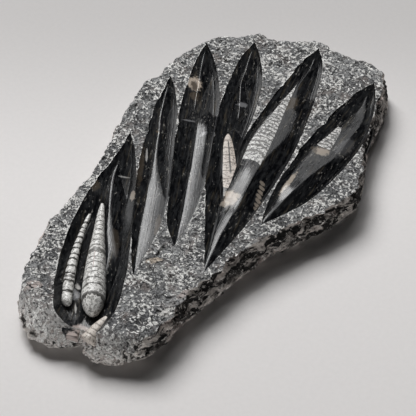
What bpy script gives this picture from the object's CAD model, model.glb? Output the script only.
"""Looks of the orthoceras fossil plate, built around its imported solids.

The slab is remade at full detail from the same outline, hollows and ridges as its solid:
a hammered face cut by polished hollows, with a ragged wall and a sawn base. The shells are
turned again with their chambers, and the ones ground flush follow the curve of their ridge.
Lengths in the tables are in millimetres, and MM turns them into metres.
"""

import math

import bmesh
import bpy
import numpy as np
from mathutils import Matrix, Vector, noise
from mathutils.bvhtree import BVHTree
from mathutils.interpolate import poly_3d_calc
from mathutils.kdtree import KDTree


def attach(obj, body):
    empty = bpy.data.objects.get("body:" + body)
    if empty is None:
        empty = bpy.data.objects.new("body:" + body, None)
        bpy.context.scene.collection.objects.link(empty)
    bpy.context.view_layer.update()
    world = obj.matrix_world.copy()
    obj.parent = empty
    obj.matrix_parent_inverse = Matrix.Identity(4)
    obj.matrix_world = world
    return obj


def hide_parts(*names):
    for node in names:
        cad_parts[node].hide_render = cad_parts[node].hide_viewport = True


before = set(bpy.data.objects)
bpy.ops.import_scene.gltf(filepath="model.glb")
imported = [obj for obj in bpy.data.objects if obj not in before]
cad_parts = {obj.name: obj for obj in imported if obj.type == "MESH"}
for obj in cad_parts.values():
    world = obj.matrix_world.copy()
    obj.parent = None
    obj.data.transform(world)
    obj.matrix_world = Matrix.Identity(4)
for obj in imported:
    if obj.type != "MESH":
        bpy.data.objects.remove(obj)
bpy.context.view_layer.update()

MM = 0.001
TOP = 32.0
HAMMER_DEPTH = 1.1
HAMMER_STEP = 1.1       # spacing of the vertices on the hammered face
BLOW_SIZE = 13.0        # size of the hammer blows and of the swells that they ride on
SWELL_SIZE = 60.0
BLOCK_HALF = (128.0, 220.0)
BLOCK_BOTTOM = -20.0
RIM_SAMPLES = 160
RIM_CALM = 7.0          # the face gets rougher over this distance from a hollow's rim
RIM_BAND = 3.0          # and its white bruises crowd this close to the rim
EDGE_ROLL = 2.5
EDGE_ROLL_WIDTH = 9.0
NOSE_Y = -168.0         # the nose starts here and is at its lowest after NOSE_REACH
NOSE_REACH = 30.0
NOSE_ROLL = 20.0
NOSE_INSET = 2.2
WALL_CHIP = 2.6
WALL_STEP = 1.5         # spacing of the vertices round the side wall
WALL_ROW = 1.4          # and up it
WALL_TOP = 40.0
LEDGE_FLATNESS = 1.9    # the wall's facets are this much wider than they are high
HOLLOW_STATIONS = 100
HOLLOW_END = (4.0, 2.5)  # a hollow's ends run on this far, and rise this much
FLARE = 5.0
FLOOR_POINTS = 37
RIDGE_STATIONS = 100
RIDGE_BOTTOM = 9.0      # the ridges' flat undersides lie inside the stone
LEFT_FLANK = 1.2        # fall of each ridge's flanks for each millimetre across
RIGHT_FLANK = 0.47
CREASE_WEAR = 0.5
SHARP_ANGLE = 32        # edges that turn by more degrees than this stay sharp
SHARP_SHELL_ANGLE = 40
SHELL_SIDES = 72
SHELL_WEAR = 0.16
STEPS_PER_CHAMBER = 10
STEPS_ROUND_END = 12
PROUD = 0.15            # a flush shell stands this far out of the stone

# Size, seed and height of the facets that break up the hammered face and the side wall
TOP_CHIPS = [(14.0, 6.6, 0.9), (6.5, 3.3, 0.8), (3.1, 8.1, 0.5)]
WALL_CHIPS = [(12.0, 5.5, 2.0), (5.0, 1.5, 0.8)]

# The broken outline, clockwise from the lower left: x, y, and how far the top edge leans in
OUTLINE = [
    (-80, -196, 3), (-86, -178, 2), (-92, -160, 2), (-95, -143, 2), (-100, -121, 2),
    (-102, -112, 2), (-100, -102, 2), (-101, -83, 2), (-101, -64, 2), (-100.5, -52, 1),
    (-103, -34, 1), (-104, -18, 1), (-110, 2, 1), (-114, 22, 1), (-117, 44, 1),
    (-120.2, 72, 1), (-119.5, 80, 2), (-115, 86, 2), (-115, 97, 2), (-112.5, 117, 2),
    (-106.5, 137, 2), (-99, 154, 2), (-91, 168, 2), (-80, 174, 3), (-68, 184, 3),
    (-57, 194, 3), (-45, 192, 3), (-25, 199, 3), (-5, 212.5, 3), (9, 210, 3),
    (27, 209, 3), (46, 206, 3), (51, 210, 3), (67, 208, 3), (79, 203, 4),
    (86, 192, 7), (94, 173, 9), (98, 146, 7), (99, 120, 3), (106, 98, 3),
    (115, 74, 3), (120.2, 54, 3), (118.5, 41, 4), (108.5, 16, 4), (96, -4, 4),
    (90, -18, 6), (80, -34, 5), (72, -54, 7), (66, -76, 8), (60, -100, 8),
    (52, -126, 7), (49, -137, 4), (49, -148, 3), (45, -168, 3), (38, -185, 4),
    (23, -199, 4), (4, -206, 4), (-8, -204, 3), (-12, -197, 2), (-20, -204, 3),
    (-36, -212.5, 4), (-56, -212.5, 4), (-70, -205, 4),
]
# Height, inset and share of the lean at each level of the side wall
WALL_LEVELS = [(0, 5.5, 0.0), (4, 2.0, 0.0), (11, -1.3, 0.0), (17, 0.2, 0.1),
               (22, -0.8, 0.45), (27, 0.0, 0.8), (WALL_TOP, -0.3, 1.0)]

# How far along a hollow, how squarely its left and right walls stand, and where between them
# the valley runs
LEAF_WALLS = [(0.42, 1.45, 1.3, -0.6), (0.6, 1.12, 1.6, -0.66)]
LEAF_STATIONS = (0.0, 0.08, 0.2, 0.35, 0.5, 0.65, 0.8, 0.92, 1.0)


def leaf_hollow(tail, tip, depth, left, right):
    """A hollow with a point at both ends; left and right are its rim's offsets between them."""
    rim = list(zip(LEAF_STATIONS, (0, *left, 0), (0, *right, 0)))
    return {"tail": tail, "tip": tip, "depth": depth, "walls": LEAF_WALLS, "rim": rim}


# Each hollow's ends and depth, and how far along it its rim lies how far left and right
HOLLOWS = {
    "outer_left": {
        "tail": (-6.6, -206.0), "tip": (-94.6, 10.0), "depth": 13.0,
        "walls": [(0.0, 3.2, 1.3, -0.3), (0.48, 3.2, 1.3, -0.35), (0.66, 1.15, 1.4, -0.6)],
        "rim": [(0.0, 2, -3), (0.03, 11, -12), (0.08, 21, -18.5), (0.16, 29, -24.3),
                (0.28, 33, -26), (0.42, 33, -24.4), (0.58, 28.2, -20), (0.75, 19.3, -15.6),
                (0.9, 6.4, -8.5), (1.0, 0, 0)],
    },
    "slim_left": leaf_hollow(
        (-4.8, -127.1), (-100.9, 92.8), 9.0, (4.5, 8.8, 11.8, 13.6, 12.8, 10.4, 5.2),
        (-6.4, -14.5, -18.2, -17, -14.8, -12.2, -6.6)),
    "slim_right": leaf_hollow(
        (9.5, -84.6), (-93.7, 149.8), 10.5, (8.2, 11.9, 13, 15.3, 15.2, 11.7, 6.8),
        (-8, -15.3, -19.2, -19.9, -21.6, -17.2, -8.6)),
    "inner": leaf_hollow(
        (45.0, -95.9), (-53.8, 176.2), 10.0, (4.2, 9.6, 16.2, 18, 19.3, 16.3, 9.3),
        (-5, -11, -13, -8.5, -14, -15.7, -9)),
    "broad": leaf_hollow(
        (45.4, -95.7), (5.2, 200.1), 12.0, (7, 16, 19, 25, 21, 15.8, 9),
        (-6, -14.3, -20.4, -23.9, -22.8, -18.6, -11.6)),
    "outer_right": leaf_hollow(
        (62.6, -27.3), (73.0, 183.5), 11.0, (5.8, 11.4, 15, 17, 15, 11.2, 6.3),
        (-8.6, -20.2, -26.6, -29.2, -28.5, -20.5, -10)),
}
# Each ridge's hollow and how far along it: the left and right edges of its ground top, how deep
# the left edge lies, and how many degrees the top leans to the left at each edge
RIDGES = {
    "outer_left_main": ("outer_left", [
        (0.17, -6, -10, 11, 2, -8), (0.24, -6.5, -12.5, 7.6, 0, -12),
        (0.31, -6.5, -13.5, 5.2, -1, -13), (0.4, -5.5, -13.2, 4, 0, -11),
        (0.5, 0, -6, 3.6, 5, -11), (0.6, 3.2, 0.6, 3.8, 9, -12), (0.7, 6.4, 3.8, 3.8, 14, -16),
        (0.78, 7.4, 5.2, 3.4, 18, -18), (0.86, 5.2, 3.6, 2.7, 20, -18),
        (0.93, 3.4, 2.4, 1.9, 20, -18), (0.97, 1.6, 1, 2, 12, -12)]),
    "outer_left_small": ("outer_left", [
        (0.05, 13, 5, 9.5, 0, -5), (0.1, 21, 6, 8.6, 0, -6), (0.15, 24.5, 7, 8.2, 0, -7),
        (0.2, 25, 10, 7.8, 2, -8), (0.26, 24.4, 17.5, 7.2, 2, -12), (0.33, 24.6, 20.5, 7.0, 2, -20),
        (0.4, 23.6, 20, 7.2, 2, -22), (0.48, 21, 18, 7.4, 2, -22), (0.56, 17.6, 15.4, 7.8, 2, -22)]),
    "slim_left_ridge": ("slim_left", [
        (-0.01, 0.2, -0.6, 0.6, 4, -2), (0.05, 0.4, -5.5, 1.9, 5, -8), (0.11, 1.4, -10.5, 2.7, 5, -8),
        (0.18, 2.2, -16, 3.3, 6, -9), (0.25, 2.4, -18, 3.9, 6, -10), (0.33, 2.2, -18, 4.6, 6, -12),
        (0.4, 2.6, -11.4, 4.9, 8, -7), (0.47, 3.0, -7, 5, 26, -20), (0.55, 3, -2.2, 4.8, 34, -24),
        (0.62, 3, 0, 4.5, 32, -24), (0.7, 3.1, 0.9, 3.9, 30, -24), (0.79, 4.2, 2.4, 3, 28, -24),
        (0.87, 3.4, 1.8, 2.1, 26, -24), (0.93, 2.4, 1.1, 1.5, 22, -22),
        (0.975, 1, 0.2, 1.6, 10, -12)]),
    "slim_right_ridge": ("slim_right", [
        (-0.01, 0, -0.7, 0.6, 4, -2), (0.05, -0.3, -6.5, 2.7, 6, -8), (0.1, -0.8, -11.5, 4, 5, -8),
        (0.16, -1.5, -15, 4.8, 6, -9), (0.23, -1.8, -17, 5.1, 6, -10), (0.3, -2, -16, 5.4, 6, -9),
        (0.37, -2.6, -12.6, 5.6, 6, -3), (0.45, -2.6, -12.7, 5.9, 5, -1), (0.52, -2.4, -12.5, 6, 6, 2),
        (0.6, -1.6, -11.8, 6.9, 7, 0), (0.68, -2.4, -10.6, 8.8, 0, -7), (0.76, -2.6, -8.6, 10.4, -5, -9)]),
    "slim_right_line": ("slim_right", [
        (0.6, 3, 1.8, 5.6, 24, -22), (0.7, 3.2, 2, 4.4, 28, -24), (0.8, 2.8, 1.6, 3.2, 28, -24),
        (0.88, 2.6, 1.5, 2.1, 26, -24), (0.94, 1.8, 0.9, 1.4, 20, -22),
        (0.975, 1, 0.2, 1.6, 10, -10)]),
    "inner_ridge": ("inner", [
        (0.18, -4, -12, 8, 6, -4), (0.24, -3, -13, 6.6, 6, -4), (0.3, -1.4, -13.5, 5.4, 5, -4),
        (0.35, 1, -12.6, 4.4, 5, -4), (0.4, 4.2, -10, 3.6, 5, -5), (0.46, 6.4, -6.4, 3.4, 5, -8),
        (0.52, 8.6, -2, 3.8, 5, -12), (0.57, 8, 2, 5, 10, -14), (0.61, 3, 0.6, 7.6, 20, -20),
        (0.68, 1.8, 0.4, 6.6, 30, -26), (0.75, 4, 2.8, 5, 30, -26), (0.81, 5.6, 4.6, 4.2, 30, -26),
        (0.87, 3.8, 2.8, 3.3, 28, -26), (0.94, 2.4, 1.4, 2.2, 24, -24), (0.98, 1.1, 0.2, 2, 10, -10)]),
    "broad_ridge": ("broad", [
        (-0.01, 1, 0, 0.6, 6, 2), (0.05, 3.4, 0.9, 0.9, 8, 4), (0.1, 6, 1.6, 1.7, 14, 6),
        (0.15, 9, 2, 2.4, 22, 8), (0.21, 12.6, 1.2, 3.6, 22, 8), (0.27, 15.4, 0, 4.6, 16, 8),
        (0.34, 19.4, -0.6, 5, 28, -2), (0.4, 21.4, -0.8, 4.6, 28, -4), (0.47, 20.5, -2.4, 3.6, 18, -4),
        (0.54, 20, -8, 2.6, 11, -8), (0.61, 17.8, -12.4, 2.4, 9, -12), (0.68, 15, -11, 2.6, 10, -13),
        (0.75, 9, -5, 3.6, 16, -18), (0.82, 4.6, 0.6, 3.9, 26, -24), (0.9, 0.4, -1.2, 3.9, 30, -26),
        (0.95, 0.4, -0.8, 2.8, 26, -24), (0.985, 0.5, -0.4, 2.2, 10, -10)]),
    "outer_right_ridge": ("outer_right", [
        (-0.01, 1, 0, 0.6, 6, 2), (0.05, 2.8, -0.6, 0.9, 12, 6), (0.1, 3.8, -1, 1.5, 15, 7),
        (0.17, 5.2, -2.2, 2.3, 16, 6), (0.24, 8.2, -4.2, 2.2, 14, 8), (0.31, 8.8, -6, 2.5, 12, 1),
        (0.38, 9.6, -8.6, 2.7, 7, 2), (0.45, 9.6, -12, 3.1, 6, -1), (0.52, 9, -15.5, 3.4, 6, -4),
        (0.6, 6.6, -15, 3.9, 7, -4), (0.67, 4.4, -14.4, 4.2, 7, -4), (0.74, 0.6, -14.6, 4.8, 6, -4),
        (0.8, -1.6, -12.4, 5.1, 6, -7), (0.86, -1, -7.4, 4.6, 8, -12), (0.92, 1.2, -2.6, 3.4, 20, -20),
        (0.97, 0.6, -1, 2.6, 10, -12)]),
}
# Each shell's ends, how high its axis lies there, its radius along it, where its chambers end,
# and how far each chamber bulges; round_end is the length of the rounded wide end over its
# radius, and bow how far the middle bends aside
SHELLS = {
    "slender_shell": dict(
        apex=(-75.3, -86.4), base=(-37.2, -178.6), heights=(26.0, 27.0),
        radii=[(0.0, 1.2), (0.12, 2.0), (0.25, 2.4), (0.42, 3.3), (0.6, 4.1), (0.75, 4.5),
               (0.9, 4.3), (1.0, 3.9)],
        chambers=(0.127, 0.184, 0.237, 0.294, 0.363, 0.416, 0.484, 0.536, 0.616, 0.697, 0.774,
                  0.879),
        bulge=0.5, round_end=1.1, bow=4.1),
    "large_left_shell": dict(
        apex=(-71.0, -73.5), base=(-13.8, -175.8), heights=(28.5, 25.0),
        radii=[(0.0, 1.4), (0.06, 2.6), (0.15, 3.9), (0.27, 5.0), (0.42, 6.9), (0.52, 8.2),
               (0.62, 9.0), (0.72, 9.8), (0.8, 10.1), (1.0, 9.8)],
        chambers=(0.085, 0.132, 0.187, 0.227, 0.266, 0.318, 0.367, 0.419, 0.489, 0.536, 0.581,
                  0.631, 0.669, 0.719, 0.778, 0.863),
        bulge=0.2, round_end=2.1, bow=0.8),
    "rim_fragment": dict(
        apex=(-2.0, -171.5), base=(-4.8, -197.0), heights=(26.2, 20.8),
        radii=[(0.0, 2.2), (0.4, 5.2), (1.0, 7.2)],
        chambers=(0.2, 0.4, 0.6, 0.8), bulge=0.1, round_end=0.2, bow=0.0),
    "tan_shell": dict(
        apex=(-18.0, 57.0), base=(17.8, -0.3), heights=(28.2, 28.0),
        radii=[(0.0, 1.6), (0.08, 2.9), (0.2, 4.2), (0.4, 5.4), (0.6, 6.1), (0.85, 6.9),
               (1.0, 6.9)],
        chambers=(0.14, 0.28, 0.42, 0.56, 0.7, 0.84), bulge=0.0, round_end=0.4, bow=0.0),
    "broad_shell": dict(
        apex=(7.8, 146.3), base=(17.9, 36.0), heights=(28.4, 29.8),
        radii=[(0.0, 0.9), (0.25, 3.4), (0.6, 7.6), (0.8, 9.6), (1.0, 11.0)],
        chambers=(0.1, 0.17, 0.23, 0.285, 0.335, 0.38, 0.425, 0.465, 0.505, 0.545, 0.585,
                  0.625, 0.67, 0.715, 0.765, 0.82, 0.885),
        bulge=0.0, round_end=-0.4, bow=0.0),
    "right_shell": dict(
        apex=(69.2, 116.0), base=(67.4, 84.0), heights=(27.8, 28.8),
        radii=[(0.0, 1.8), (0.12, 3.2), (0.4, 5.0), (0.75, 6.4), (1.0, 7.0)],
        chambers=(0.16, 0.28, 0.39, 0.5, 0.61, 0.73, 0.86), bulge=0.0, round_end=0.15,
        bow=0.0),
}
FLUSH_WITH = {"tan_shell": "inner_ridge", "broad_shell": "broad_ridge",
              "right_shell": "outer_right_ridge"}
# pale and shade are the two ends of a shell's mottle, tint its clouds and line its chamber walls;
# wall is how thick those are, ink how dark, and worn how much of the shade shows. arch bends the
# walls at the sides, dark lists the middle and half length of dark bands in chambers, and tube
# is a line's place and half width across, its first and last chamber, and its colour
WHITE_LOOK = dict(
    pale=(0.88, 0.87, 0.84), shade=(0.28, 0.275, 0.26), tint=(0.58, 0.56, 0.52),
    line=(0.07, 0.066, 0.06), wall=0.11, ink=0.85, worn=0.41, arch=0.0, dark=(), tube=())
FLUSH_LOOK = dict(
    WHITE_LOOK, pale=(0.66, 0.65, 0.63), shade=(0.06, 0.06, 0.058), tint=(0.33, 0.32, 0.30),
    wall=0.19, ink=0.92, worn=0.43)
TAN_LOOK = dict(
    WHITE_LOOK, pale=(0.60, 0.53, 0.47), shade=(0.15, 0.12, 0.10), tint=(0.38, 0.30, 0.25),
    line=(0.085, 0.065, 0.05))
SHELL_LOOKS = {
    "slender_shell": dict(WHITE_LOOK, wall=0.14, ink=1.0, arch=0.12, dark=((10.4, 0.2),)),
    "large_left_shell": dict(WHITE_LOOK, wall=0.10, arch=-0.25, dark=((8.6, 0.3), (15.9, 0.2)),
                             tube=(0.12, 0.05, 8.6, 12.4, (0.42, 0.33, 0.31))),
    "rim_fragment": dict(TAN_LOOK, pale=(0.68, 0.62, 0.56), wall=0.13, ink=0.55, worn=0.36,
                         arch=0.35),
    "tan_shell": dict(TAN_LOOK, wall=0.10, ink=0.6, worn=0.40,
                      tube=(-0.08, 0.17, 0.8, 5.6, (0.04, 0.033, 0.027))),
    "broad_shell": dict(FLUSH_LOOK, arch=-0.45),
    "right_shell": dict(FLUSH_LOOK, arch=-0.4),
}

BEIGE = (0.62, 0.53, 0.44)
PINK = (0.60, 0.51, 0.475)
RUST = (0.13, 0.10, 0.07)
UMBER = (0.075, 0.06, 0.045)
SILVER = (0.26, 0.26, 0.27)
CHALK = (0.80, 0.78, 0.75)
SOOT = (0.012, 0.012, 0.012)
# Colour-only marks in the polished stone: middle, half length, half width, degrees from +X,
# colour and strength
POLISHED_MARKS = [
    (-77, 97, 9.5, 7.6, -60, BEIGE, 0.85), (-76, 95, 6.5, 3.6, -60, UMBER, 0.9),
    (-69, 84, 6, 5, -60, RUST, 0.5), (-57, 53, 6, 0.9, 37, SILVER, 0.6),
    (-38, 46, 5, 2.5, 68, SILVER, 0.7), (40, 18, 3, 2, -20, BEIGE, 0.4),
    (41.5, 13.5, 3, 2, -20, BEIGE, 0.45), (42.5, 9, 3, 2, -20, BEIGE, 0.5),
    (43.5, 4.5, 3, 2, -20, BEIGE, 0.5), (45, 0, 3, 2, -20, BEIGE, 0.45),
    (46, -4.5, 2.6, 1.8, -20, BEIGE, 0.4), (47, -8.5, 2.2, 1.5, -20, BEIGE, 0.3),
    (-67, -6, 9, 1.0, -61, CHALK, 0.5), (-66, -18, 28, 3.5, -62, RUST, 0.35),
    (-75, 26, 2, 1.6, 30, RUST, 0.8), (-16, -70, 14, 2.6, -67, RUST, 0.4),
    (-53, -52, 7, 2.4, -47, BEIGE, 0.6), (-73, -35, 6, 0.9, 30, CHALK, 0.35),
    (-88, -60, 7, 5, -57, UMBER, 0.8), (-38, -103, 17, 3.4, -57, RUST, 0.25),
    (-25, 99, 6, 3, 41, SILVER, 0.75), (67, 80, 10, 6, 30, UMBER, 0.9),
    (60, 29, 17, 2.4, 88, BEIGE, 0.5), (24, -12, 9, 6.4, -61, BEIGE, 0.5),
    (19.5, -8, 5, 4.4, -20, BEIGE, 0.4), (27.5, -8.5, 4, 4, 10, BEIGE, 0.35),
    (22, -19, 5, 4, -30, BEIGE, 0.4), (69, 78.5, 6.5, 5.5, 0, BEIGE, 0.4),
    (-42, -156, 4, 2.4, -49, CHALK, 0.6), (-39, -164, 6, 4.5, -56, SILVER, 0.8),
    (-31, -175, 5, 0.9, -56, CHALK, 0.6), (-15, -190, 8, 5, 10, PINK, 0.6),
    (-15, -199, 10, 5, 0, PINK, 0.8),
    (8, 124, 9, 0.8, 70, CHALK, 0.35), (14, 118, 14, 7, 75, UMBER, 0.8),
    (84, 94, 14, 7, 78, SILVER, 0.25), (-42, -5, 66, 0.5, -64, SILVER, 0.35),
    (-28, 48, 44, 0.5, -67, SILVER, 0.35), (-2, 65, 17, 0.6, -82, SILVER, 0.45),
]
# and the larger ones in the hammered stone
HAMMERED_MARKS = [
    (-12, -199, 13, 9, 10, PINK, 0.75), (3, -106, 7.5, 2.8, 40, BEIGE, 1.0),
    (22, -106, 4.5, 3, 40, CHALK, 0.8), (64, -53, 2.6, 1.6, 30, CHALK, 1.0),
    (51, -124, 7, 2.2, 60, SOOT, 0.8), (40, -146, 8.5, 3.2, 50, CHALK, 0.95),
    (43, -122, 9, 3.4, 68, PINK, 0.6), (-71, -178, 9, 4.6, 30, PINK, 0.8),
    (-63, -180, 4.5, 2.6, 30, CHALK, 0.9), (50, 202, 2.2, 1.8, 30, SOOT, 0.9),
    (-11, 200, 8, 3.4, 9, CHALK, 0.6), (25, -197, 16, 5, 20, PINK, 0.5),
    (96, 150, 10, 3, 80, CHALK, 0.5),
]

# The stone's own colours
DARK_GREY = (0.092, 0.094, 0.098)
PALE_GREY = (0.39, 0.393, 0.395)
WARM_GREY = (0.30, 0.25, 0.225)
PIT_BLACK = (0.02, 0.02, 0.02)
BRUISE_WHITE = (1.0, 0.99, 0.96)
CRUST_PINK = (0.62, 0.54, 0.50)
CRUST_WHITE = (1.0, 0.97, 0.94)
POLISH_BLACK = (0.004, 0.0044, 0.0055)
POLISH_CLOUD = (0.013, 0.0135, 0.015)
POLISH_GREY = (0.028, 0.029, 0.031)
POLISH_BROWN = (0.075, 0.064, 0.048)
SPECK_GREY = (0.34, 0.325, 0.30)
SEAM_BROWN = (0.05, 0.047, 0.045)
LUMP_BEIGE = (0.62, 0.57, 0.53)
LUMP_PINK = (0.50, 0.41, 0.375)
CRACK_BLACK = (0.005, 0.005, 0.005)
CRYSTAL_WHITE = (0.85, 0.81, 0.77)
SAWN_DARK = (0.12, 0.12, 0.12)
SAWN_PALE = (0.19, 0.185, 0.18)
PAPER_GREY = (0.82, 0.80, 0.79)
PAPER_WHITE = (0.89, 0.865, 0.855)

# Each light's azimuth and elevation, how far off it is, its width and height and how bright
# it looks; lengths of the stage are in metres
LIGHTS = [
    ("key_softbox", (307, 46), 4.0, (1.7, 1.7), 15.5),
    ("back_panel", (326, 48), 2.8, (0.88, 1.0), 5.6),
    ("side_panel", (350, 48), 2.8, (0.7, 1.0), 3.2),
    ("front_fill", (165, 2.6), 2.8, (2.4, 0.22), 13.5),
]
WORLD_STRENGTH = 0.004
CAMERA_SKY = (150, 50)
CAMERA_TARGET = Vector((13.4, -33.6, 32.0)) * MM
CAMERA_DISTANCE = 1.010

# The surfaces of the slab, by the number that each of its faces carries
HAMMERED, POLISHED, BROKEN, SAWN = range(4)
FIRST_GROUND = 4        # every hollow and ridge has a number of its own from here on


def smooth_value(rows, column, t):
    """Read a column of a table at t on a smooth curve through its rows."""
    if t <= rows[0][0]:
        return rows[0][column]
    if t >= rows[-1][0]:
        return rows[-1][column]
    upper = next(index for index, row in enumerate(rows) if row[0] > t)
    lower = upper - 1

    def slope(index):
        before = rows[max(index - 1, 0)]
        after = rows[min(index + 1, len(rows) - 1)]
        return (after[column] - before[column]) / (after[0] - before[0])

    start, end = rows[lower], rows[upper]
    span = end[0] - start[0]
    part = (t - start[0]) / span
    square, cube = part * part, part ** 3
    return ((2 * cube - 3 * square + 1) * start[column]
            + (cube - 2 * square + part) * span * slope(lower)
            + (3 * square - 2 * cube) * end[column]
            + (cube - square) * span * slope(upper))


def ease(value):
    """Go smoothly from 0 to 1 as value does."""
    value = np.clip(value, 0.0, 1.0)
    return value * value * (3 - 2 * value)


class Axis:
    """The straight line from a hollow's tail to its tip, and places beside it."""

    def __init__(self, hollow):
        self.tail = Vector(hollow["tail"])
        along = Vector(hollow["tip"]) - self.tail
        self.length = along.length
        self.along = along.normalized()
        self.left = Vector((-self.along.y, self.along.x))

    def point(self, t, offset, z):
        place = self.tail + self.along * (t * self.length) + self.left * offset
        return Vector((place.x, place.y, z)) * MM


def linked(name, mesh):
    made = bpy.data.objects.new(name, mesh)
    bpy.context.scene.collection.objects.link(made)
    return made


def surface_object(name, bm, number):
    """A closed form whose faces all carry one surface number."""
    bmesh.ops.recalc_face_normals(bm, faces=bm.faces)
    if bm.calc_volume(signed=True) < 0:
        bmesh.ops.reverse_faces(bm, faces=bm.faces)
    for face in bm.faces:
        face.material_index = number
        face.smooth = True
    mesh = bpy.data.meshes.new(name)
    bm.to_mesh(mesh)
    bm.free()
    for _ in range(FIRST_GROUND + len(HOLLOWS) + len(RIDGES)):
        mesh.materials.append(None)
    return linked(name, mesh)


def loft(rings):
    """Join closed rings of equal length into one solid with capped ends."""
    bm = bmesh.new()
    loops = [[bm.verts.new(point) for point in ring] for ring in rings]
    count = len(loops[0])
    for lower, upper in zip(loops, loops[1:]):
        for i in range(count):
            j = (i + 1) % count
            bm.faces.new((lower[i], lower[j], upper[j], upper[i]))
    bm.faces.new(loops[0])
    bm.faces.new(loops[-1])
    return bm


def boolean(target, tool, operation):
    cut = target.modifiers.new(tool.name, "BOOLEAN")
    cut.operation = operation
    cut.solver = "MANIFOLD"
    cut.object = tool


def evaluated_mesh(target):
    graph = bpy.context.evaluated_depsgraph_get()
    return bpy.data.meshes.new_from_object(target.evaluated_get(graph))


# Broken stone

def chip_height(place, size, seed):
    """Height of one broken facet: every cell of the pattern is a small tilted plane."""
    here = Vector((place.x / size, place.y / size, place.z / size + seed))
    centre = noise.voronoi(here)[1][0]
    tilt = noise.cell_vector(centre * 31.7) * 2 - Vector((1, 1, 1))
    return (here - centre).dot(tilt) + 0.45 * tilt.z


def edge_distances(places):
    """Signed distance from places on the plan to the outline, positive inside it."""
    nearest = np.full(len(places), np.inf)
    inside = np.zeros(len(places), bool)
    corners = np.array([row[:2] for row in OUTLINE], float)
    for start, end in zip(corners, np.roll(corners, -1, axis=0)):
        run = end - start
        part = np.clip((places - start) @ run / (run @ run), 0, 1)
        nearest = np.minimum(nearest, np.linalg.norm(places - start - part[:, None] * run, axis=1))
        crosses = (start[1] > places[:, 1]) != (end[1] > places[:, 1])
        if start[1] != end[1]:
            at = start[0] + (places[:, 1] - start[1]) / (end[1] - start[1]) * run[0]
            inside ^= crosses & (places[:, 0] < at)
    return np.where(inside, nearest, -nearest)


def rim_distances(places):
    """Distance from places on the plan to the nearest hollow's rim."""
    rims = []
    for hollow in HOLLOWS.values():
        axis = Axis(hollow)
        for t in np.linspace(0.0, 1.0, RIM_SAMPLES):
            for side in (1, 2):
                rims.append(axis.point(t, smooth_value(hollow["rim"], side, t), 0.0) / MM)
    tree = KDTree(len(rims))
    for index, place in enumerate(rims):
        tree.insert(place, index)
    tree.balance()
    return np.array([tree.find((x, y, 0.0))[2] for x, y in places])


def top_heights(places):
    """Height of the hammered face, which rolls down towards its edge."""
    inward = edge_distances(places)
    rough = 0.25 + 0.75 * ease((rim_distances(places) - 1.0) / RIM_CALM)
    nose = ease((NOSE_Y - places[:, 1]) / NOSE_REACH)
    near_edge = 1 - np.clip(inward / (EDGE_ROLL_WIDTH * (1 + 1.9 * nose)), 0, 1)
    fall = (EDGE_ROLL + NOSE_ROLL * nose) * near_edge ** (2 - 0.5 * nose)
    heights = TOP - fall
    for index in np.flatnonzero(inward > -3):
        x, y = places[index]
        flat = Vector((x, y, 0))
        blows = noise.noise(Vector((x / BLOW_SIZE, y / BLOW_SIZE, 4.0)))
        swell = noise.noise(Vector((x / SWELL_SIZE, y / SWELL_SIZE, 9.0)))
        heights[index] += HAMMER_DEPTH * (0.7 * blows + 0.7 * swell)
        chips = 0.12 * noise.noise(Vector((x, y, 2.0)))
        for size, seed, tall in TOP_CHIPS:
            chips += tall * chip_height(flat, size, seed)
        heights[index] += chips * rough[index]
    return heights


def hammered_block():
    """A block with the hammered face on top, wider than the slab."""
    half_x, half_y = BLOCK_HALF
    bm = bmesh.new()
    bmesh.ops.create_grid(bm, x_segments=round(2 * half_x / HAMMER_STEP),
                          y_segments=round(2 * half_y / HAMMER_STEP), size=1.0)
    rng = np.random.default_rng(7)
    flat = np.array([vertex.co[:2] for vertex in bm.verts])
    jitter = rng.uniform(-0.35, 0.35, flat.shape) * HAMMER_STEP
    jitter[np.abs(flat).max(axis=1) > 0.999] = 0
    places = flat * (half_x, half_y) + jitter
    for vertex, (x, y), z in zip(bm.verts, places, top_heights(places)):
        vertex.co = Vector((x, y, z)) * MM
    grown = bmesh.ops.extrude_face_region(bm, geom=bm.faces[:])
    for element in grown["geom"]:
        if isinstance(element, bmesh.types.BMVert):
            element.co.z = BLOCK_BOTTOM * MM
    return surface_object("hammered_block", bm, HAMMERED)


def wall_columns():
    """Places round the outline with the way inwards and the lean at each."""
    corners = [Vector(row) for row in OUTLINE]
    count = len(corners)
    inward = []
    for index in range(count):
        run = (corners[(index + 1) % count] - corners[index - 1]).to_2d().normalized()
        inward.append(Vector((run.y, -run.x, 0)))
    columns = []
    for index, start in enumerate(corners):
        end = corners[(index + 1) % count]
        pieces = max(1, round((end - start).to_2d().length / WALL_STEP))
        for piece in range(pieces):
            part = piece / pieces
            place = start.lerp(end, part)
            way = inward[index].lerp(inward[(index + 1) % count], part).normalized()
            columns.append((place.x, place.y, place.z, way))
    return columns


def wall_inset(height, lean):
    """How far in the wall stands at one height, before it is chipped."""
    rows = WALL_LEVELS
    upper = next(index for index, row in enumerate(rows) if row[0] >= height and index)
    low, high = rows[upper - 1], rows[upper]
    part = (height - low[0]) / (high[0] - low[0])
    return low[1] + (high[1] - low[1]) * part + lean * (low[2] + (high[2] - low[2]) * part)


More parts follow.
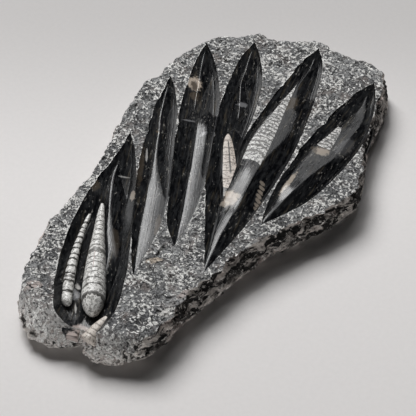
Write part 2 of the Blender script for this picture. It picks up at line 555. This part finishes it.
def slab_blank():
    """The broken slab before it is worked: a ragged wall, sawn flat below."""
    columns = wall_columns()
    heights = [*np.arange(0, TOP + 3.5, WALL_ROW), WALL_TOP]
    rings = []
    for height in heights:
        ring = []
        for x, y, lean, way in columns:
            place = Vector((x, y, height))
            chip = 0.5 + noise.noise(Vector((x / 7.0, y / 7.0, height / 6.0)))
            reach = wall_inset(height, lean) + WALL_CHIP * min(max(chip, 0.0), 1.0)
            ledge = Vector((x, y, height * LEDGE_FLATNESS))
            for size, seed, deep in WALL_CHIPS:
                reach += deep * chip_height(ledge, size, seed)
            reach += 0.25 * noise.noise(place / 1.6) + NOSE_INSET * ease((NOSE_Y - y) / NOSE_REACH)
            ring.append((place + way * max(reach, -0.2)) * MM)
        rings.append(ring)
    made = surface_object("slab_stone", loft(rings), BROKEN)
    for face in made.data.polygons:
        if len(face.vertices) > 4 and face.center.z < 1 * MM:
            face.material_index = SAWN
    return made


# Ground hollows and ridges

def stations(start, end, count):
    """Places along a line, closer together towards its ends."""
    return [start + (end - start) * (0.5 - 0.5 * math.cos(math.pi * i / (count - 1)))
            for i in range(count)]


def hollow_depth(name, t):
    """Depth of a hollow's floor; it gets shallower where the hollow narrows."""
    hollow = HOLLOWS[name]
    widest = max(row[1] - row[2] for row in hollow["rim"]) / 2
    half = (smooth_value(hollow["rim"], 1, t) - smooth_value(hollow["rim"], 2, t)) / 2
    return hollow["depth"] * (max(half, 0.4) / widest) ** 0.75


def hollow_form(name, number):
    """A boat-shaped form with walls of unlike steepness, pointed at both ends."""
    hollow = HOLLOWS[name]
    axis, rim = Axis(hollow), hollow["rim"]
    run_on, rise = HOLLOW_END
    run_on /= axis.length
    places = [(t, 0.0, 0.0) for t in stations(0.0, 1.0, HOLLOW_STATIONS)]
    rings = []
    for t, beyond, lift in [(0.0, -run_on, rise), *places, (1.0, run_on, rise)]:
        left, right = smooth_value(rim, 1, t), smooth_value(rim, 2, t)
        half = max((left - right) / 2, 0.4)
        left_wall, right_wall, valley = (smooth_value(hollow["walls"], c, t) for c in (1, 2, 3))
        lowest = (left + right) / 2 + valley * half
        depth = hollow_depth(name, t)
        section = [(lowest - half * (1 + valley) - FLARE * 0.25, FLARE)]
        for index in range(FLOOR_POINTS):
            side = 2 * index / (FLOOR_POINTS - 1) - 1
            side *= 0.35 + 0.65 * abs(side)
            power = left_wall if side > 0 else right_wall
            across = side * half * (1 - valley if side > 0 else 1 + valley)
            section.append((lowest + across, lift - depth * (1 - abs(side) ** power)))
        section.append((lowest + half * (1 - valley) + FLARE * 0.6, FLARE))
        rings.append([axis.point(t + beyond, across, TOP + z) for across, z in section])
    return surface_object(f"{name}_hollow", loft(rings), number)


def worn_crease(offset, wear):
    """How far a surface has fallen past a crease that wear has rounded."""
    return wear * math.log1p(math.exp(max(min(offset / wear, 40.0), -40.0)))


def ridge_section(edges, depth, leans, floor):
    """Offsets and depths across a ridge: a leaning top between two falling flanks."""
    left, right = edges
    left_slope, right_slope = (math.tan(math.radians(lean)) for lean in leans)
    width = left - right
    rise = (left_slope + right_slope) / 2 * width
    left_turn = max(LEFT_FLANK - left_slope, 0.0)
    right_turn = max(RIGHT_FLANK + right_slope, 0.0)
    left_reach = max(floor - depth, 0.0) / LEFT_FLANK + 1.0
    right_reach = max(floor - depth + rise, 0.0) / RIGHT_FLANK + 1.0
    offsets = [left + left_reach * (1 - part) for part in np.linspace(0, 1, 7)[:-1]]
    offsets += [left - width * part for part in (1 - np.cos(np.linspace(0, math.pi, 23))) / 2]
    offsets += [right - right_reach * part for part in np.linspace(0, 1, 15)[1:] ** 1.4]
    wear = min(CREASE_WEAR, width / 6)
    section = []
    for offset in offsets:
        part = min(max((left - offset) / width, 0.0), 1.0)
        lift = width * (left_slope * part + (right_slope - left_slope) * part * part / 2)
        lift -= left_slope * max(offset - left, 0.0)
        lift += right_slope * max(right - offset, 0.0)
        lift -= left_turn * worn_crease(offset - left, wear)
        lift -= right_turn * worn_crease(right - offset, wear)
        section.append((float(offset), depth - lift))
    return section


def ridge_form(name, number, grow=0.0):
    """A ridge left standing along a hollow; grow raises it."""
    hollow_name, rows = RIDGES[name]
    axis = Axis(HOLLOWS[hollow_name])
    rings = []
    for t in stations(rows[0][0], rows[-1][0], RIDGE_STATIONS):
        left, right, depth, left_lean, right_lean = (smooth_value(rows, c, t) for c in range(1, 6))
        floor = hollow_depth(hollow_name, t) + 1.0
        section = ridge_section((left, right), depth, (left_lean, right_lean), floor)
        ring = [axis.point(t, offset, TOP - below + grow) for offset, below in section]
        ring.append(axis.point(t, section[-1][0], RIDGE_BOTTOM))
        ring.append(axis.point(t, section[0][0], RIDGE_BOTTOM))
        rings.append(ring)
    return surface_object(f"{name}_form", loft(rings), number)


class GroundSurface:
    """A ground form kept to read its true normals from."""

    def __init__(self, form, hollow_name):
        mesh = form.data
        self.axis = Axis(HOLLOWS[hollow_name])
        self.places = [vertex.co.copy() for vertex in mesh.vertices]
        self.normals = [vertex.normal.copy() for vertex in mesh.vertices]
        self.faces = [tuple(face.vertices) for face in mesh.polygons]
        self.tree = BVHTree.FromPolygons(self.places, self.faces)

    def normal(self, place, facing):
        near, _, index, _ = self.tree.find_nearest(place)
        corners = self.faces[index]
        if len(corners) > 4:
            return facing
        weights = poly_3d_calc([self.places[i] for i in corners], near)
        found = Vector((0, 0, 0))
        for weight, i in zip(weights, corners):
            found += self.normals[i] * weight
        found.normalize()
        return found if found.dot(facing) > 0 else -found


def smooth_ground_faces(mesh, surfaces):
    """Give every ground face the normals of the form that ground it."""
    mesh.update()
    normals = [Vector(corner.vector) for corner in mesh.corner_normals]
    known = {}
    for face in mesh.polygons:
        number = face.material_index
        if number not in surfaces:
            continue
        for corner in face.loop_indices:
            index = mesh.loops[corner].vertex_index
            if (number, index) not in known:
                place = mesh.vertices[index].co
                known[number, index] = surfaces[number].normal(place, face.normal)
            normals[corner] = known[number, index]
    mesh.normals_split_custom_set(normals)


def mark_surface_borders(mesh, angle):
    """Keep edges between unlike surfaces, and steep edges, sharp."""
    for face in mesh.polygons:
        face.use_smooth = True
    mesh.set_sharp_from_angle(angle=math.radians(angle))
    owner = {}
    borders = set()
    for face in mesh.polygons:
        for key in face.edge_keys:
            if owner.setdefault(key, face.material_index) != face.material_index:
                borders.add(key)
    for edge in mesh.edges:
        if edge.key in borders:
            edge.use_edge_sharp = True


def rim_closeness(mesh):
    """How close each vertex is to a hollow's rim, from 0 to 1 over a few millimetres."""
    rim_vertices = set()
    kinds = {}
    for face in mesh.polygons:
        ground = face.material_index >= FIRST_GROUND
        for index in face.vertices:
            if kinds.setdefault(index, ground) != ground:
                rim_vertices.add(index)
    tree = KDTree(len(rim_vertices))
    for index in rim_vertices:
        tree.insert(mesh.vertices[index].co, index)
    tree.balance()
    close = np.zeros(len(mesh.vertices), np.float32)
    for index, vertex in enumerate(mesh.vertices):
        distance = tree.find(vertex.co)[2] / MM
        close[index] = max(0.0, 1 - distance / RIM_BAND)
    return close


def grain_places(mesh, surfaces):
    """Along and across the hollow for each ground vertex, in millimetres."""
    grain = np.zeros((len(mesh.vertices), 3), np.float32)
    for face in mesh.polygons:
        number = face.material_index
        if number not in surfaces:
            continue
        axis = surfaces[number].axis
        for index in face.vertices:
            place = mesh.vertices[index].co / MM
            offset = place.to_2d() - axis.tail
            grain[index] = (offset.dot(axis.along), offset.dot(axis.left), number * 10.0)
    return grain


def point_attribute(mesh, name, kind, field, values):
    layer = mesh.attributes.new(name, kind, "POINT")
    layer.data.foreach_set(field, np.ascontiguousarray(values, np.float32).ravel())


def make_slab():
    """Cut the hollows into the slab, raise the ridges and keep the surfaces apart."""
    slab = slab_blank()
    tools = [hammered_block()]
    boolean(slab, tools[0], "INTERSECT")
    surfaces = {}
    number = FIRST_GROUND
    for name in HOLLOWS:
        tools.append(hollow_form(name, number))
        boolean(slab, tools[-1], "DIFFERENCE")
        surfaces[number] = GroundSurface(tools[-1], name)
        number += 1
    for name, (hollow_name, _) in RIDGES.items():
        tools.append(ridge_form(name, number))
        boolean(slab, tools[-1], "UNION")
        surfaces[number] = GroundSurface(tools[-1], hollow_name)
        number += 1
    mesh = evaluated_mesh(slab)
    for tool in tools:
        bpy.data.objects.remove(tool)
    slab.modifiers.clear()
    slab.data = mesh
    point_attribute(mesh, "rim", "FLOAT", "value", rim_closeness(mesh))
    point_attribute(mesh, "grain", "FLOAT_VECTOR", "vector", grain_places(mesh, surfaces))
    mark_surface_borders(mesh, SHARP_ANGLE)
    smooth_ground_faces(mesh, surfaces)
    numbers = np.empty(len(mesh.polygons), np.int32)
    mesh.polygons.foreach_get("material_index", numbers)
    mesh.materials.clear()
    for material in (hammered_stone(), polished_stone(), broken_stone(), sawn_stone()):
        mesh.materials.append(material)
    numbers[numbers >= FIRST_GROUND] = POLISHED
    mesh.polygons.foreach_set("material_index", numbers)
    return slab


# Shells

class ShellShape:
    """A shell's axis, its chambers and the radius along it."""

    def __init__(self, facts):
        self.facts = facts
        self.start = Vector((*facts["apex"], facts["heights"][0]))
        run = Vector((*facts["base"], facts["heights"][1])) - self.start
        self.length = run.length
        self.along = run.normalized()
        self.across = run.cross(Vector((0, 0, 1))).normalized()
        self.upward = self.along.cross(self.across)
        self.round_length = facts["round_end"] * facts["radii"][-1][1]
        self.walls = [0.0, *(part * self.length for part in facts["chambers"]), self.length]

    def radius(self, along):
        return smooth_value(self.facts["radii"], 1, along / self.length)

    def bow(self, along):
        return self.facts["bow"] * (1 - (2 * along / self.length - 1) ** 2)

    def chamber(self, along):
        return float(np.interp(along, self.walls, range(len(self.walls))))

    def profile(self):
        """Radius and distance along, swelling in each chamber and closing at both ends."""
        straight = self.length - self.round_length
        steps = len(self.walls) * STEPS_PER_CHAMBER
        points = [(0.0, 0.0)]
        for step in range(steps + 1):
            along = straight * step / steps
            part = self.chamber(along) % 1.0
            swell = self.facts["bulge"] * ((1 - (2 * part - 1) ** 4) - 0.6)
            points.append((self.radius(along) + swell, along))
        last = points[-1][0]
        for step in range(1, STEPS_ROUND_END):
            turn = math.pi / 2 * step / STEPS_ROUND_END
            points.append((last * math.cos(turn), straight + self.round_length * math.sin(turn)))
        points.append((0.0, self.length))
        return points

    def local(self, place):
        """Along the shell, and across it from -1 to 1, for a place in millimetres."""
        offset = place - self.start
        along = min(max(offset.dot(self.along), 0.0), self.length)
        across = (offset.dot(self.across) - self.bow(along)) / self.radius(along)
        return along, across


def turned_shell(name, shape):
    """Turn the profile, bend it and lay it along the shell's axis."""
    bm = bmesh.new()
    line = [bm.verts.new((radius * MM, 0.0, along * MM)) for radius, along in shape.profile()]
    for first, second in zip(line, line[1:]):
        bm.edges.new((first, second))
    bmesh.ops.spin(bm, geom=bm.verts[:] + bm.edges[:], axis=(0, 0, 1), cent=(0, 0, 0),
                   steps=SHELL_SIDES, angle=2 * math.pi, use_merge=True)
    bmesh.ops.remove_doubles(bm, verts=bm.verts, dist=0.00002)
    for vertex in bm.verts:
        vertex.co.x += shape.bow(vertex.co.z / MM) * MM
    turn = Matrix((shape.across, shape.upward, shape.along)).transposed().to_4x4()
    bm.transform(Matrix.Translation(shape.start * MM) @ turn)
    return surface_object(name, bm, 0)


def weather(mesh):
    """Wear a standing shell: shallow pits and a slightly uneven surface."""
    for vertex in mesh.vertices:
        place = vertex.co / MM
        dent = noise.noise(place / 3.0) + 0.5 * noise.noise(place / 1.2)
        vertex.co += vertex.normal * (dent * SHELL_WEAR * MM)


def make_shell(name, facts):
    """A shell with its chambers; a flush one takes the curve of its ridge."""
    shape = ShellShape(facts)
    piece = turned_shell(f"{name}_calcite", shape)
    if name in FLUSH_WITH:
        hollow_name = RIDGES[FLUSH_WITH[name]][0]
        form = ridge_form(FLUSH_WITH[name], 1, grow=PROUD)
        boolean(piece, form, "INTERSECT")
        surfaces = {1: GroundSurface(form, hollow_name)}
        mesh = evaluated_mesh(piece)
        bpy.data.objects.remove(form)
        piece.modifiers.clear()
        piece.data = mesh
        mark_surface_borders(mesh, SHARP_SHELL_ANGLE)
        smooth_ground_faces(mesh, surfaces)
        for face in mesh.polygons:
            face.material_index = 0
    else:
        mesh = piece.data
        weather(mesh)
        mesh.shade_smooth()
    place = [shape.local(vertex.co / MM) for vertex in mesh.vertices]
    values = [(shape.chamber(along), across, along) for along, across in place]
    point_attribute(mesh, "shell", "FLOAT_VECTOR", "vector", values)
    mesh.materials.clear()
    return piece


# Materials

class Nodes:
    """Short calls for building a material's nodes."""

    def __init__(self, name):
        self.material = bpy.data.materials.new(name)
        self.material.use_nodes = True
        self.tree = self.material.node_tree
        self.shader = self.tree.nodes["Principled BSDF"]

    def put(self, value, socket):
        """Link an input to another node's output, or set its value."""
        if isinstance(value, bpy.types.NodeSocket):
            self.tree.links.new(value, socket)
        elif isinstance(value, tuple) and socket.type == "RGBA":
            socket.default_value = (*value, 1.0)
        else:
            socket.default_value = value

    def add(self, kind, inputs, **settings):
        """A new node with its settings, and its inputs by their names or numbers."""
        node = self.tree.nodes.new(kind)
        for key, value in settings.items():
            setattr(node, key, value)
        for key, value in inputs.items():
            self.put(value, node.inputs[key])
        return node

    def math(self, operation, first, second=0.0):
        inputs = {0: first, 1: second}
        return self.add("ShaderNodeMath", inputs, operation=operation).outputs[0]

    def plus(self, first, *others):
        for other in others:
            first = self.math("ADD", first, other)
        return first

    def minus(self, first, second):
        return self.math("SUBTRACT", first, second)

    def times(self, first, second):
        return self.math("MULTIPLY", first, second)

    def span(self, value, low, high, out_low=0.0, out_high=1.0):
        """Map low to high smoothly onto out_low to out_high."""
        inputs = dict(enumerate((value, low, high, out_low, out_high)))
        return self.add("ShaderNodeMapRange", inputs, interpolation_type="SMOOTHSTEP").outputs[0]

    def mix(self, part, first, second):
        inputs = {0: part, 6: first, 7: second}
        return self.add("ShaderNodeMix", inputs, data_type="RGBA").outputs[2]

    def attribute(self, name, output):
        return self.add("ShaderNodeAttribute", {}, attribute_name=name).outputs[output]

    def place(self):
        return self.add("ShaderNodeTexCoord", {}).outputs["Object"]

    def split(self, vector):
        return self.add("ShaderNodeSeparateXYZ", {0: vector}).outputs

    def stretch(self, vector, scale):
        return self.add("ShaderNodeMapping", {"Vector": vector, "Scale": scale}).outputs[0]

    def noise(self, vector, scale, detail=3.0, roughness=0.55, distortion=0.0):
        inputs = {"Vector": vector, "Scale": scale, "Detail": detail, "Roughness": roughness,
                  "Distortion": distortion}
        return self.add("ShaderNodeTexNoise", inputs).outputs["Fac"]

    def cells(self, vector, scale, feature="F1", output="Distance"):
        inputs = {"Vector": vector, "Scale": scale}
        return self.add("ShaderNodeTexVoronoi", inputs, feature=feature).outputs[output]

    def warp(self, vector, scale, amount):
        """Push places about by up to the amount, in metres."""
        drift = self.add("ShaderNodeTexNoise", {"Vector": vector, "Scale": scale})
        inputs = {0: drift.outputs["Color"], 1: (amount, amount, amount), 2: vector}
        return self.add("ShaderNodeVectorMath", inputs, operation="MULTIPLY_ADD").outputs[0]

    def oval(self, place, mark):
        """How far out of an oval mark's middle a place is: 1 is on the oval."""
        x, y, half_length, half_width, degrees = mark[:5]
        inputs = {"Vector": place, "Location": (x * MM, y * MM, 0.0),
                  "Rotation": (0.0, 0.0, math.radians(degrees)),
                  "Scale": (half_length * MM, half_width * MM, 1.0)}
        inside = self.add("ShaderNodeMapping", inputs, vector_type="TEXTURE").outputs[0]
        return self.add("ShaderNodeVectorMath", {0: inside}, operation="LENGTH").outputs["Value"]

    def marks(self, colour, place, marks):
        """Lay each mark's colour over a base colour, with ragged edges."""
        ragged = self.noise(place, 230, detail=6, roughness=0.75)
        ragged = self.times(self.minus(ragged, 0.5), 2.0)
        for mark in marks:
            tint, strength = mark[5:]
            out = self.plus(self.oval(place, mark), ragged)
            colour = self.mix(self.span(out, 0.7, 1.1, strength, 0.0), colour, tint)
        return colour

    def bump(self, height, distance, strength=1.0):
        inputs = {"Height": height, "Distance": distance, "Strength": strength}
        self.put(self.add("ShaderNodeBump", inputs).outputs[0], self.shader.inputs["Normal"])

    def finish(self, colour, roughness, specular=0.5):
        self.put(colour, self.shader.inputs["Base Color"])
        self.put(roughness, self.shader.inputs["Roughness"])
        self.shader.inputs["Specular IOR Level"].default_value = specular
        return self.material


def hammered_stone():
    """Grey crushed stone: chips of unlike greys under white bruises and dark pits."""
    n = Nodes("hammered_limestone")
    place = n.place()
    chips = n.warp(place, 120, 0.008)
    tint = n.split(n.cells(chips, 80, output="Color"))[0]
    grain = n.noise(place, 480, detail=4, roughness=0.7)
    tone = n.plus(n.times(n.noise(place, 42, detail=3), 0.35), n.times(grain, 0.65),
                  n.times(n.minus(tint, 0.5), 0.08))
    stone = n.mix(n.span(tone, 0.40, 0.61), DARK_GREY, PALE_GREY)
    warm = n.span(n.noise(place, 70, detail=5, roughness=0.65), 0.50, 0.68, 0.0, 0.6)
    stone = n.mix(warm, stone, WARM_GREY)
    stone = n.marks(stone, place, HAMMERED_MARKS)
    _, along, height = n.split(place)
    nose = n.span(along, (NOSE_Y - 10) * MM, (NOSE_Y - NOSE_REACH) * MM)
    crust = n.times(nose, n.span(height, 13 * MM, 23 * MM, 0.95, 0.55))
    pale = n.mix(n.span(n.noise(place, 170, detail=4), 0.4, 0.56), CRUST_PINK, CRUST_WHITE)
    stone = n.mix(crust, stone, pale)
    cluster = n.span(n.noise(place, 50, detail=3, distortion=0.5), 0.44, 0.62)
    border = n.span(n.cells(chips, 80, "DISTANCE_TO_EDGE"), 0.0, 0.14, 0.07, 0.0)
    bruise = n.stretch(place, (0.75, 1.0, 1.0))
    bruise = n.noise(bruise, 250, detail=4, roughness=0.62, distortion=0.5)
    fleck = n.noise(place, 400, detail=2, distortion=0.7)
    rim = n.span(n.attribute("rim", "Fac"), 0.55, 1.0)
    rim = n.times(rim, n.plus(n.times(cluster, 0.08), 0.03))
    amount = n.plus(n.times(bruise, 0.22), n.times(fleck, 0.78), n.times(cluster, 0.07), border,
                    rim, n.times(nose, 0.02))
    white = n.span(amount, 0.603, 0.615)
    pit = n.noise(place, 330, detail=3, roughness=0.6, distortion=0.8)
    pit = n.span(n.plus(pit, n.times(cluster, 0.04)), 0.585, 0.61)
    colour = n.mix(n.times(pit, 0.92), stone, PIT_BLACK)
    colour = n.mix(white, colour, BRUISE_WHITE)
    n.bump(n.minus(n.plus(amount, n.times(grain, 0.3)), n.times(pit, 0.4)), 0.005)
    return n.finish(colour, n.span(white, 0, 1, 0.42, 0.36))


def polished_stone():
    """Black polish with brown streaks and pale specks along it, and the colour-only marks."""
    n = Nodes("polished_limestone")
    place = n.place()
    cloud = n.span(n.noise(place, 34, detail=4), 0.4, 0.72)
    lengthwise = n.attribute("grain", "Vector")
    fine = n.noise(n.stretch(lengthwise, (0.10, 0.36, 1.0)), 1.0, detail=5, roughness=0.65)
    fine = n.span(fine, 0.42, 0.66)
    base = n.mix(fine, n.mix(cloud, POLISH_BLACK, POLISH_CLOUD), POLISH_GREY)
    brown = n.noise(n.stretch(lengthwise, (0.03, 0.28, 1.0)), 1.0, detail=6, roughness=0.66)
    brown = n.span(n.plus(brown, n.times(cloud, 0.05)), 0.56, 0.70)
    base = n.mix(n.times(brown, 0.8), base, POLISH_BROWN)
    base = n.marks(base, place, POLISHED_MARKS)
    dense = n.span(n.noise(place, 40, detail=2), 0.45, 0.62, 0.0, 0.07)
    speck = n.noise(n.stretch(lengthwise, (0.20, 0.5, 1.0)), 1.0, detail=3, roughness=0.65)
    speck = n.span(n.plus(speck, dense), 0.65, 0.72)
    colour = n.mix(n.times(speck, 0.6), base, SPECK_GREY)
    streak = n.noise(n.stretch(lengthwise, (0.02, 0.6, 1.0)), 1.6, detail=3)
    n.bump(streak, 0.0003, 0.5)
    gloss = n.plus(n.span(streak, 0.3, 0.7, 0.05, 0.10), n.times(fine, 0.04))
    return n.finish(colour, gloss, 0.20)


def broken_stone():
    """A weathered crust: beige and pink lumps, black cracks and pale crystals."""
    n = Nodes("broken_crust")
    place = n.place()
    ledges = n.stretch(place, (1.0, 1.0, 2.2))
    _, along, height = n.split(place)
    patch = n.noise(ledges, 46, detail=6, roughness=0.6)
    stone = n.mix(n.span(patch, 0.42, 0.56), SEAM_BROWN, LUMP_BEIGE)
    pink = n.span(n.noise(ledges, 38, detail=3), 0.5, 0.66)
    stone = n.mix(n.times(pink, 0.5), stone, LUMP_PINK)
    lip = n.times(n.span(height, 16 * MM, 23 * MM), n.span(height, 25 * MM, 29 * MM, 1, 0))
    crack = n.stretch(place, (1.0, 1.0, 3.0))
    crack = n.noise(crack, 44, detail=6, roughness=0.62, distortion=1.2)
    crack = n.span(n.plus(crack, n.times(lip, 0.055)), 0.535, 0.56)
    stone = n.mix(n.times(crack, 0.97), stone, CRACK_BLACK)
    nose = n.span(along, NOSE_Y * MM, (NOSE_Y - 25) * MM, 0.0, 0.12)
    crystal = n.noise(place, 260, detail=4, roughness=0.62)
    pale = n.span(n.plus(crystal, nose), 0.56, 0.66)
    colour = n.mix(pale, stone, CRYSTAL_WHITE)
    foot = n.span(height, 1.2 * MM, 3.2 * MM, 0.8, 0.0)
    colour = n.mix(n.times(foot, n.span(crystal, 0.40, 0.55)), colour, CRYSTAL_WHITE)
    n.bump(n.minus(n.plus(patch, n.times(crystal, 0.5)), crack), 0.008)
    return n.finish(colour, 0.85, 0.25)


def sawn_stone():
    """The underside: even dark grey with the saw's fine lines."""
    n = Nodes("sawn_base")
    place = n.place()
    lines = n.noise(n.stretch(place, (1.0, 0.02, 1.0)), 900, detail=1)
    n.bump(lines, 0.0002)
    return n.finish(n.mix(n.noise(place, 60), SAWN_DARK, SAWN_PALE), 0.75, 0.3)


def calcite(name, look, chambers):
    """Shell calcite: mottled chambers parted by dark walls, with what each look adds."""
    n = Nodes(name)
    place = n.place()
    chamber, across, _ = n.split(n.attribute("shell", "Vector"))
    waver = n.times(n.minus(n.noise(place, 260, detail=4), 0.5), 0.5)
    at = n.plus(chamber, waver, n.times(n.times(across, across), look["arch"]))
    from_wall = n.math("ABSOLUTE", n.minus(n.math("FRACT", n.plus(at, 0.5)), 0.5))
    thin, thick = look["wall"] * 0.6, look["wall"] * 1.4
    thickness = n.span(n.noise(place, 170, detail=2), 0.35, 0.65, thin, thick)
    wall = n.span(n.math("DIVIDE", from_wall, thickness), 0.45, 1.0, 1.0, 0.0)
    wall = n.times(wall, n.span(chamber, chambers - 0.6, chambers - 0.4, 1.0, 0.0))
    mottle = n.noise(place, 430, detail=4, roughness=0.75, distortion=0.6)
    mottle = n.span(mottle, look["worn"], look["worn"] + 0.12)
    cloud = n.span(n.noise(place, 110, detail=4), 0.52, 0.72, 0.0, 0.55)
    body = n.mix(cloud, n.mix(mottle, look["shade"], look["pale"]), look["tint"])
    colour = n.mix(n.times(wall, look["ink"]), body, look["line"])
    for middle, half in look["dark"]:
        band = n.math("ABSOLUTE", n.minus(at, middle))
        band = n.span(band, half * 0.7, half, 0.8, 0.0)
        colour = n.mix(band, colour, look["line"])
    if look["tube"]:
        middle, half, first, last, tint = look["tube"]
        line = n.math("ABSOLUTE", n.minus(across, middle))
        line = n.span(line, half * 0.5, half, 1.0, 0.0)
        ends = n.times(n.span(chamber, first, first + 0.5),
                       n.span(chamber, last - 0.5, last, 1.0, 0.0))
        colour = n.mix(n.times(line, ends), colour, tint)
    n.bump(n.minus(n.noise(place, 700, detail=3), wall), 0.0005, 0.7)
    return n.finish(colour, 0.34, 0.4)


# Stage

def studio_floor():
    """Pale paper that gets darker behind the plate."""
    bpy.ops.mesh.primitive_plane_add(size=8.0)
    floor = bpy.context.object
    floor.name = "studio_floor"
    n = Nodes("pale_paper")
    place = n.place()
    paper = n.mix(n.noise(place, 260, detail=4), PAPER_GREY, PAPER_WHITE)
    x, y, _ = n.split(place)
    behind = n.minus(n.times(y, 0.87), n.times(x, 0.5))
    shade = n.span(behind, -0.02, 0.30, 0.0, 0.34)
    floor.data.materials.append(n.finish(n.mix(shade, paper, (0.0, 0.0, 0.0)), 0.9, 0.2))


def sky(azimuth, elevation):
    """Direction from the plate; azimuth 0 is +Y and 90 is +X."""
    turn, rise = math.radians(azimuth), math.radians(elevation)
    return Vector((math.sin(turn) * math.cos(rise), math.cos(turn) * math.cos(rise),
                   math.sin(rise)))


def studio_light():
    """Softboxes facing the plate; each one's energy follows from how bright it looks."""
    for name, direction, distance, (width, height), radiance in LIGHTS:
        data = bpy.data.lights.new(name, "AREA")
        data.shape = "RECTANGLE"
        data.size = width
        data.size_y = height
        data.energy = radiance * math.pi * width * height
        lamp = linked(name, data)
        lamp.location = sky(*direction) * distance
        lamp.rotation_euler = sky(*direction).to_track_quat("Z", "Y").to_euler()
    world = bpy.data.worlds.new("studio")
    bpy.context.scene.world = world
    world.use_nodes = True
    background = world.node_tree.nodes["Background"]
    background.inputs["Color"].default_value = (0.97, 0.97, 1.0, 1.0)
    background.inputs["Strength"].default_value = WORLD_STRENGTH


def camera():
    data = bpy.data.cameras.new("camera")
    data.lens = 100.0
    data.sensor_width = 36.0
    data.clip_end = 20.0
    made = linked("camera", data)
    back = sky(*CAMERA_SKY)
    made.location = CAMERA_TARGET + back * CAMERA_DISTANCE
    made.rotation_euler = back.to_track_quat("Z", "Y").to_euler()
    bpy.context.scene.camera = made


def main():
    camera()
    studio_floor()
    studio_light()
    bpy.context.scene.view_settings.view_transform = "Standard"
    slab = make_slab()
    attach(slab, "root")
    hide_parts("limestone_slab")
    for name, facts in SHELLS.items():
        piece = make_shell(name, facts)
        chambers = len(facts["chambers"]) + 1
        piece.data.materials.append(calcite(f"{name}_look", SHELL_LOOKS[name], chambers))
        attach(piece, "root")
        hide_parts(name)


main()
